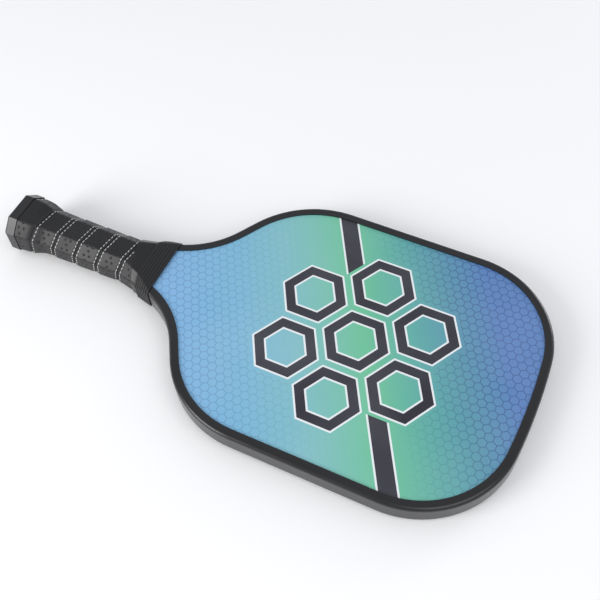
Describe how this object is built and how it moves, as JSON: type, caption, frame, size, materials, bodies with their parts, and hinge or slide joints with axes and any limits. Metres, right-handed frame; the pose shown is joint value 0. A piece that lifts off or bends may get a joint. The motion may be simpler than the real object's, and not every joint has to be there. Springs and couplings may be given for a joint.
{
  "type": "pickleball paddle",
  "caption": "Flat rounded-rectangle paddle with a sandwich blade, black edge guard and a short octagonal handle with a stitched wound grip and ribbed collar.",
  "frame": {"origin": "centre of the flat butt end of the handle", "axes": "+X along the handle to the head's tip, +Z out of the front printed face, +Y across the blade"},
  "size_m": [0.404, 0.2, 0.0352],
  "materials": {
    "core_plastic": "translucent natural honeycomb",
    "scrim": "thin non-woven bond layer",
    "face_sheet": "fibre laminate in resin",
    "print": "printed film, satin, blue to green",
    "guard_plastic": "satin black moulding",
    "bond_strip": "cured adhesive",
    "shell_plastic": "moulded, hidden under the grip",
    "cap_plastic": "satin black moulding",
    "steel": "bright wire",
    "foam": "cushion backing",
    "grip_leather": "perforated black synthetic leather",
    "thread": "white sewing thread",
    "tape": "smooth black tape",
    "collar_rubber": "ribbed black rubber"
  },
  "bodies": {
    "root": {"honeycomb_core": "core_plastic", "front_scrim": "scrim", "back_scrim": "scrim", "front_skin": "face_sheet", "back_skin": "face_sheet", "front_print_film": "print", "back_print_film": "print", "edge_guard": "guard_plastic", "edge_bond_strip": "bond_strip", "front_handle_shell": "shell_plastic", "back_handle_shell": "shell_plastic", "butt_cap": "cap_plastic", "butt_cap_staples": "steel", "grip_foam": "foam", "grip_leather": "grip_leather", "grip_threads": "thread", "finishing_tape": "tape", "collar": "collar_rubber"}
  },
  "joints": []
}
